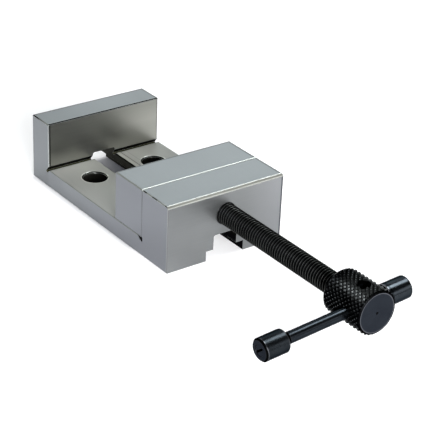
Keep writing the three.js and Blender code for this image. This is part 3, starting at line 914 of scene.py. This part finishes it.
dress(make_body(), "body_block", "body", "ground_steel", "vise_body")


# Sliding jaw with its keep plate, screws and pins

def make_jaw():
    front, back = JAW_FRONT_X, JAW_BACK_X
    bottom, under = CHANNEL_Z - PLAY, BED_Z + PLAY
    side = [(front, bottom), (back, bottom), *broken_top(back, front)]
    w = HALF_WIDTH
    tongue = SLOT_HALF - PLAY
    half_end = [
        (tongue, bottom),
        (tongue, under),
        (w, under),
        (w, TOP_Z - EDGE),
        (w - EDGE, TOP_Z),
    ]
    jaw = prism("jaw", "y", side, -w, w)
    combine(jaw, prism("end", "x", mirrored(half_end), front, back), "INTERSECT")
    combine(jaw, cylinder("pocket", "x", back - POCKET_DEPTH, back + 1, POCKET_RADIUS, 72))
    for y in PIN_Y.values():
        spot = (back - PIN_SETBACK, y, 0)
        top = PIN_TOP_Z + PLAY
        combine(jaw, cylinder("hole", "z", bottom - 1, top, PIN_RADIUS + PLAY, 32, spot))
    for x in KEEP_SCREW_X.values():
        hole = cylinder(
            "hole", "z", bottom - 1, KEEP_HOLE_TOP_Z, KEEP_SCREW_RADIUS + PLAY, 32, (x, 0, 0)
        )
        combine(jaw, hole)

    def recess(place, normal):
        return math.hypot(*place[1:]) < POCKET_RADIUS + 0.1 and place[0] < JAW_BACK_X - 0.1

    def lit(place, normal):
        return normal.x > 0.5 and normal.z > 0.5

    def wider(middle, direction):
        if abs(direction.z) > 0.9 and abs(middle.y) > HALF_WIDTH - 0.1:
            return 0.12
        at_seam = abs(direction.y) > 0.9 and abs(middle.z - TOP_Z) < 0.1
        return 0.15 if at_seam and middle.x > JAW_BACK_X - 1 else None

    def seam(place, normal):
        return upright_corner(place, normal) and place[0] > JAW_BACK_X - 0.4

    materials = [
        steel, steel_edge_highlight, recess_shade_steel, steel_corner_shade, dark_edge_shade, steel_seam_highlight, steel_side_edge_highlight,
        seam_shade_line,
    ]
    given(jaw, materials)
    # Painted shade in the screw's pocket, painted highlight on the chamfer at the seam
    paint(jaw, recess_shade_steel, recess)
    paint(jaw, steel_seam_highlight, lit)
    break_edges(jaw, 0.08, steel_edge_highlight, wider)
    # Painted shade on the upright corners, the seam and the far edges; painted highlight on the
    # near side's top edge
    paint(jaw, steel_corner_shade, upright_corner)
    paint(jaw, seam_shade_line, seam)
    paint(jaw, dark_edge_shade, far_top)
    return paint(jaw, steel_side_edge_highlight, side_top)


def make_plate():
    low, high = plate_low, plate_high
    outline = [
        (high.y - EDGE, low.z),
        (high.y, low.z + EDGE),
        (high.y, high.z),
        (low.y, high.z),
        (low.y, low.z + EDGE),
        (low.y + EDGE, low.z),
    ]
    plate = prism("plate", "x", outline, low.x, high.x)
    sink = low.z + KEEP_SCREW_SINK
    wide, narrow = KEEP_HEAD_RADIUS + PLAY, KEEP_SCREW_RADIUS + PLAY
    hole = [
        (low.z - 1, 0),
        (low.z - 1, wide),
        (sink, wide),
        (sink + wide - narrow, narrow),
        (high.z + 1, narrow),
        (high.z + 1, 0),
    ]
    for x in KEEP_SCREW_X.values():
        combine(plate, lathe("hole", "z", hole, 48, (x, 0, 0)))
    given(plate, [steel, steel_edge_highlight])
    return break_edges(plate, 0.12, steel_edge_highlight)


def make_keep_screw(x):
    """A countersunk screw from below, with a hexagon socket 2 mm across its flats."""
    low = plate_low.z + KEEP_SCREW_SINK
    wide, narrow, top = KEEP_HEAD_RADIUS, KEEP_SCREW_RADIUS, low + KEEP_SCREW_LENGTH
    profile = [
        (low, 0),
        (low, wide),
        (low + wide - narrow, narrow),
        (top - 0.2, narrow),
        (top, narrow - 0.2),
        (top, 0),
    ]
    screw = lathe("screw", "z", profile, 48, (x, 0, 0))
    across = 1 / math.cos(math.pi / 6)
    turns = [math.pi * i / 3 for i in range(6)]
    hexagon = [(x + across * math.cos(a), across * math.sin(a)) for a in turns]
    combine(screw, prism("socket", "z", hexagon, low - 1, low + 1))
    given(screw, [black_screws])
    return break_edges(screw, 0.06)


def make_pin(y):
    low, high, tip = CHANNEL_Z, PIN_TOP_Z, PIN_RADIUS - PIN_CHAMFER
    profile = [
        (low, 0),
        (low, tip),
        (low + PIN_CHAMFER, PIN_RADIUS),
        (high - PIN_CHAMFER, PIN_RADIUS),
        (high, tip),
        (high, 0),
    ]
    pin = lathe("pin", "z", profile, 40, (JAW_BACK_X - PIN_SETBACK, y, 0))
    return shade(given(pin, [pin_steel]))


dress(make_jaw(), "jaw_block", "jaw", "ground_steel", "sliding_jaw")
dress(make_plate(), "keep_plate_block", "jaw", "ground_steel", "keep_plate")
for end, x in KEEP_SCREW_X.items():
    screw_node = "keep_plate_screw_" + end
    dress(make_keep_screw(x), "socket_screw_" + end, "jaw", "black_oxide_screws", screw_node)
for side, y in PIN_Y.items():
    dress(make_pin(y), "dowel_" + side, "jaw", "bright_pins", "nose_pin_" + side)


# Screw: grooved nose, fine thread and knurled head, built about X from the jaw's back

def make_thread(start, end):
    """One helical sheet with rounded crests, cut off at both ends of the shaft."""
    crest = SCREW_RADIUS
    root = crest - THREAD_DEPTH
    flank = THREAD_DEPTH * math.tan(math.radians(30))
    half = PITCH / 16
    shoulder = half + CREST_ROUND * 0.8
    profile = [
        (-half - flank, root),
        (-shoulder, crest - CREST_ROUND),
        (-half * 0.5, crest),
        (half * 0.5, crest),
        (shoulder, crest - CREST_ROUND),
        (half + flank, root),
    ]
    first = math.floor(start / PITCH) - 2
    turns = math.ceil(end / PITCH) + 2 - first
    steps = turns * THREAD_STEPS
    points, faces = [], []
    for step in range(steps + 1):
        turn = first + step / THREAD_STEPS
        angle = 2 * math.pi * turn
        for offset, radius in profile:
            x = min(max(turn * PITCH + offset, start), end)
            lead = NOSE_RADIUS + (x - start)
            r = max(min(radius, lead), min(root, lead))
            points.append((x, r * math.cos(angle), r * math.sin(angle)))
    count = len(profile)
    for step in range(steps):
        for k in range(count - 1):
            a = step * count + k
            faces.append((a, a + count, a + count + 1, a + 1))
        after = step + THREAD_STEPS
        if after < steps:
            a = step * count + count - 1
            b = after * count
            faces.append((a, a + count, b + count, b))
    return mesh_object("thread", points, faces)


def make_knurl(start, end, radius):
    """A closed cylinder about X whose skin is a male diamond knurl."""
    points, index, faces = [], {}, []
    count = 2 * KNURL_AROUND

    def place(u, v, r):
        angle = 2 * math.pi * (u + v) / count + KNURL_TURN
        x = KNURL_MARK + KNURL_PITCH * (u - v) / 2
        return (x, r * math.cos(angle), r * math.sin(angle))

    def corner(i, j):
        wraps = (i + j) // count
        key = (i - wraps * KNURL_AROUND, j - wraps * KNURL_AROUND)
        if key not in index:
            index[key] = len(points)
            points.append(place(*key, radius - KNURL_DEPTH))
        return index[key]

    low = math.floor((start - KNURL_MARK) / KNURL_PITCH * 2) - 2
    high = math.ceil((end - KNURL_MARK) / KNURL_PITCH * 2) + 2
    for total in range(count):
        for difference in range(low, high + 1):
            if (total + difference) % 2:
                continue
            i, j = (total + difference) // 2, (total - difference) // 2
            ring = [corner(i, j), corner(i + 1, j), corner(i + 1, j + 1), corner(i, j + 1)]
            top = []
            for du, dv in ((-1, -1), (1, -1), (1, 1), (-1, 1)):
                top.append(len(points))
                u, v = i + 0.5 + du * KNURL_FLAT, j + 0.5 + dv * KNURL_FLAT
                points.append(place(u, v, radius))
            faces.append(tuple(top))
            for k in range(4):
                n = (k + 1) % 4
                faces.append((ring[k], ring[n], top[n], top[k]))
    shell = mesh_object("knurl", points, faces)
    middle = (start + end) / 2 * MM
    mesh = bmesh.new()
    mesh.from_mesh(shell.data)
    for side in (-1, 1):
        edges = [
            edge
            for edge in mesh.edges
            if edge.is_boundary and (edge.verts[0].co.x - middle) * side > 0
        ]
        far = max(vertex.co.x * side for edge in edges for vertex in edge.verts) * side
        hub = mesh.verts.new((far, 0, 0))
        for edge in edges:
            mesh.faces.new((edge.verts[0], edge.verts[1], hub))
    bmesh.ops.recalc_face_normals(mesh, faces=mesh.faces)
    mesh.to_mesh(shell.data)
    mesh.free()
    return shell


def make_head():
    """The knurled head with its centre mark, the bar's hole and the spare one across it."""
    start, end, r = SCREW_LENGTH, HEAD_END_X, HEAD_RADIUS
    knurl = make_knurl(start, end, r)
    envelope = [
        (start, 0),
        (start, r - 0.9),
        (start + 0.25, r - 0.7),
        (start + 1.1, r - 0.05),
        (start + 1.1, r + 0.3),
        (end - 0.5, r + 0.3),
        (end - 0.6, r - 0.05),
        (end - 0.1, r - 0.5),
        (end, r - 0.7),
        (end, 0.5),
        (end - 0.5, 0),
    ]
    combine(knurl, lathe("envelope", "x", envelope, 144), "INTERSECT")
    reach, spot = r + 1, (CROSS_HOLE_X, 0, 0)
    combine(knurl, cylinder("bar_hole", "y", -reach, reach, CROSS_HOLE_RADIUS, 64, spot))
    half_spare = [
        (-reach, 0),
        (-reach, SPARE_MOUTH_RADIUS),
        (-SPARE_MOUTH_Z, SPARE_MOUTH_RADIUS),
        (0.2 - SPARE_MOUTH_Z, CROSS_HOLE_RADIUS),
    ]
    return combine(knurl, lathe("spare_hole", "z", mirrored(half_spare), 64, spot))


def make_nose():
    """The plain nose, with the groove that the pins run in."""
    groove = PIN_RADIUS + PLAY
    profile = [
        (-NOSE_LENGTH, 0),
        (-NOSE_LENGTH, NOSE_RADIUS - 0.8),
        (0.8 - NOSE_LENGTH, NOSE_RADIUS),
        (-PIN_SETBACK - groove, NOSE_RADIUS),
        (-PIN_SETBACK - groove, NOSE_GROOVE_RADIUS),
        (groove - PIN_SETBACK, NOSE_GROOVE_RADIUS),
        (groove - PIN_SETBACK, NOSE_RADIUS),
        (1.2, NOSE_RADIUS),
        (1.2, 0),
    ]
    return lathe("nose", "x", profile, 64)


def joined(name, objects):
    """Several objects as one, with the mesh data kept as separate shells."""
    mesh = bmesh.new()
    for obj in objects:
        mesh.from_mesh(obj.data)
        bpy.data.objects.remove(obj)
    data = bpy.data.meshes.new(name)
    mesh.to_mesh(data)
    mesh.free()
    obj = bpy.data.objects.new(name, data)
    WORLD.objects.link(obj)
    return obj


def turned_with_screw(obj, x):
    obj.matrix_world = Matrix.Translation((x * MM, 0, 0)) @ Matrix.Rotation(REST_TURN, 4, "X")
    return obj


def crest_top(place, normal):
    return place[0] > 0.5 and math.hypot(*place[1:]) > SCREW_RADIUS - 0.07


def flat_end(place, normal):
    return abs(normal.x) > 0.9


def end_chamfer(place, normal):
    return place[0] > HEAD_END_X - 0.6 and 0.4 < normal.x < 0.9


def knurl_top(place, normal):
    reach = math.hypot(*place[1:])
    outward = (normal.y * place[1] + normal.z * place[2]) / max(reach, 0.1)
    return reach > HEAD_RADIUS - 0.15 and outward > 0.99


def inside_head(place, normal):
    """The walls of both cross holes and the centre mark."""
    reach = math.hypot(*place[1:])
    within = reach < HEAD_RADIUS - 0.8 and abs(normal.x) < 0.9
    return within and (place[0] < HEAD_END_X - 0.6 or reach < 0.6)


def spare_mouth(place, normal):
    x, y, z = place
    within = abs(z) > 6.5 and math.hypot(x - CROSS_HOLE_X, y) < SPARE_MOUTH_RADIUS + 0.1
    return within and normal.z * z < 0.95 * abs(z)


shaft = joined("screw_shaft", [shade(make_nose()), shade(make_thread(0.4, SCREW_LENGTH + 0.5))])
given(shaft, [black_thread_and_shade, black_crest_highlight])
paint(shaft, black_crest_highlight, crest_top)
turned_with_screw(shade(shaft, 24), JAW_BACK_X)
dress(shaft, "screw_shaft", "screw", "black_oxide_spindle", "spindle")
head = given(make_head(), [black_knurl, black_face, black_thread_and_shade, knurl_tip_highlight])
paint(head, black_face, flat_end)
# Painted shade on the end chamfer, in the holes and in the centre mark, and painted highlight on
# the knurl's tips
paint(head, black_thread_and_shade, end_chamfer)
paint(head, knurl_tip_highlight, knurl_top)
paint(head, black_thread_and_shade, inside_head)
paint(head, black_thread_and_shade, spare_mouth)
turned_with_screw(shade(head, 24), JAW_BACK_X)
dress(head, "screw_head", "screw", "black_oxide_spindle", "spindle")


# Tommy bar and its knobs, built about Y from the screw's axis

def make_bar():
    left = LEFT_KNOB_Y - KNOB_LENGTH + 0.15
    right = RIGHT_KNOB_Y + KNOB_BORE_DEPTH - PLAY
    neck = LEFT_KNOB_Y + BAR_NECK_LENGTH
    profile = [
        (left, 0),
        (left, BAR_RADIUS),
        (LEFT_KNOB_Y, BAR_RADIUS),
        (LEFT_KNOB_Y, BAR_NECK_RADIUS),
        (neck, BAR_NECK_RADIUS),
        (neck, BAR_RADIUS),
        (right, BAR_RADIUS),
        (right, 0),
    ]
    bar = lathe("bar", "y", profile, 64)
    half = BAR_SLOT_HALF
    blade = [(-3, -half), (3, -half), (3, half), (-3, half)]
    slot = prism("slot", "y", blade, left - 1, left + BAR_SLOT_DEPTH)
    slot.data.transform(Matrix.Rotation(BAR_SLOT_TURN, 4, "Y"))
    combine(bar, slot)
    given(bar, [black_bar, black_edge, black_thread_and_shade, black_end])

    def slotted_end(place, normal):
        return normal.y < -0.9

    def shaded(place, normal):
        x, y, z = place
        in_neck = LEFT_KNOB_Y - 0.05 < y < neck + 0.05
        in_slot = left + 0.05 < y < left + BAR_SLOT_DEPTH + 0.05
        return math.hypot(x, z) < BAR_RADIUS - 0.1 and (in_neck or in_slot)

    paint(bar, black_end, slotted_end)
    break_edges(bar, 0.06, black_edge)
    return paint(bar, black_thread_and_shade, shaded)


def knob_rim_round(end):
    """The rounded rim at a knob's end toward +Y."""
    centre = (KNOB_RADIUS - KNOB_ROUND, end - KNOB_ROUND)
    return [(y, radius) for radius, y in arc(centre, KNOB_ROUND, 0, 90)]


def make_left_knob():
    outer = LEFT_KNOB_Y - KNOB_LENGTH
    profile = [
        (outer, KNOB_BORE_RADIUS),
        (outer, KNOB_RADIUS - KNOB_CHAMFER),
        (outer + KNOB_CHAMFER, KNOB_RADIUS),
        *knob_rim_round(LEFT_KNOB_Y),
        (LEFT_KNOB_Y, KNOB_BORE_RADIUS),
        (outer, KNOB_BORE_RADIUS),
    ]
    knob = lathe("knob", "y", profile, 72)
    given(knob, [black_left_knob_shaded, black_edge, black_thread_and_shade, black_end])
    # Painted shade on the outer chamfer and the inner end
    paint(knob, black_thread_and_shade, lambda place, normal: -0.9 < normal.y < -0.4 or normal.y > 0.95)
    paint(knob, black_end, lambda place, normal: normal.y < -0.9)
    return break_edges(knob, 0.08, black_edge)


def make_right_knob():
    inner, chamfer = RIGHT_KNOB_Y, KNOB_INNER_CHAMFER
    outer = inner + KNOB_LENGTH
    profile = [
        (inner + KNOB_BORE_DEPTH, 0),
        (inner + KNOB_BORE_DEPTH, KNOB_BORE_RADIUS),
        (inner, KNOB_BORE_RADIUS),
        (inner, KNOB_RADIUS - chamfer),
        (inner + chamfer, KNOB_RADIUS),
        *knob_rim_round(outer),
        (outer, 0),
    ]
    knob = lathe("knob", "y", profile, 72)
    given(knob, [black_knob, black_edge, knob_rim_highlight])
    # Painted highlight on the inner chamfer
    paint(knob, knob_rim_highlight, lambda place, normal: place[1] < inner + 0.3 and -0.9 < normal.y < -0.4)
    return break_edges(knob, 0.06, black_edge)


for piece_name, make, node_name in (
    ("handle_bar", make_bar, "tommy_bar"),
    ("knob_left", make_left_knob, "tommy_knob_left"),
    ("knob_right", make_right_knob, "tommy_knob_right"),
):
    piece = turned_with_screw(make(), JAW_BACK_X + CROSS_HOLE_X)
    dress(piece, piece_name, "handle", "black_oxide_bar", node_name)


# Floor

floor_corners = [
    (sx * FLOOR_HALF, sy * FLOOR_HALF, BASE_Z - FLOOR_GAP)
    for sx, sy in ((-1, -1), (1, -1), (1, 1), (-1, 1))
]
floor = mesh_object("floor", floor_corners, [(0, 1, 2, 3)])
floor_material, floor_tree, floor_shader = new_material("pale_floor")
floor_shader.inputs["Base Color"].default_value = (0.58, 0.58, 0.592, 1)
floor_shader.inputs["Roughness"].default_value = 0.9
floor_shader.inputs["Specular IOR Level"].default_value = 0.1
# Painted light: the floor glows and so washes out the shadows about the vise, all but under the
# body, where the glow is mostly taken away
floor_shader.inputs["Emission Strength"].default_value = 0.48
floor_x, floor_y = place_in_mm(floor_tree, "XY")
glow_cut_under_body = product(
    floor_tree,
    ramp(floor_tree, floor_x, BACK_X - 1, BACK_X + 2),
    ramp(floor_tree, floor_x, FRONT_X - 18, FRONT_X - 24),
    ramp(floor_tree, size_of(floor_tree, floor_y), HALF_WIDTH + 2, HALF_WIDTH - 1),
)
glow = mix_colour(floor_tree, glow_cut_under_body, (1, 1, 1, 1), (0.07, 0.075, 0.095, 1))
floor_tree.links.new(glow, floor_shader.inputs["Emission Color"])
floor.data.materials.append(floor_material)


# Light

scene = bpy.context.scene
scene.view_settings.view_transform = "Standard"
world = bpy.data.worlds.new("studio")
world.use_nodes = True
scene.world = world
background = world.node_tree.nodes["Background"]
background.inputs["Color"].default_value = (0.95, 1, 1, 1)
background.inputs["Strength"].default_value = 0.08


def softbox(name, spot, aim, size, radiance, colour=(1, 1, 1)):
    """A rectangular lamp of the given brightness, aimed at a point."""
    light = bpy.data.lights.new(name, "AREA")
    light.shape = "RECTANGLE"
    light.size, light.size_y = size
    light.energy = radiance * math.pi * size[0] * size[1]
    light.color = colour
    obj = bpy.data.objects.new(name, light)
    WORLD.objects.link(obj)
    obj.location = spot
    obj.rotation_euler = (Vector(aim) - Vector(spot)).to_track_quat("-Z", "Y").to_euler()


softbox("window", (-0.62, 0.75, 0.62), (0.04, 0, 0), (0.9, 0.7), 1.75, (0.94, 1, 0.99))
softbox("overhead", (0.12, 0.63, 0.95), (0.05, 0, 0), (0.42, 0.45), 13, (0.97, 1, 0.99))
softbox("front", (1.2, -0.2, 0.5), (0.06, 0, 0), (0.9, 0.35), 20, (1, 0.995, 0.98))
softbox("fill", (1.184, -0.322, 0.27), (0.06, 0, 0), (0.6, 0.42), 38.5, (0.97, 0.98, 1))
softbox("right", (0.9, 0.75, 0.3), (0.06, 0, 0), (0.5, 0.4), 2.5)
softbox("back", (-0.8, -0.84, 0.74), (0.03, 0, 0), (1.1, 0.8), 1.2)


# Camera at the photograph's viewing angle

camera_data = bpy.data.cameras.new("camera")
camera_data.sensor_width = SENSOR_WIDTH
camera_data.lens = CAMERA_LENS
camera_data.clip_start = 0.01
camera_data.clip_end = 50
camera = bpy.data.objects.new("camera", camera_data)
WORLD.objects.link(camera)
right = Vector(CAMERA_RIGHT).normalized()
back = right.cross(Vector(CAMERA_UP)).normalized()
up = back.cross(right).normalized()
turn = Matrix((right, up, back)).transposed().to_4x4()
camera.matrix_world = Matrix.Translation(CAMERA_SPOT) @ turn
scene.camera = camera
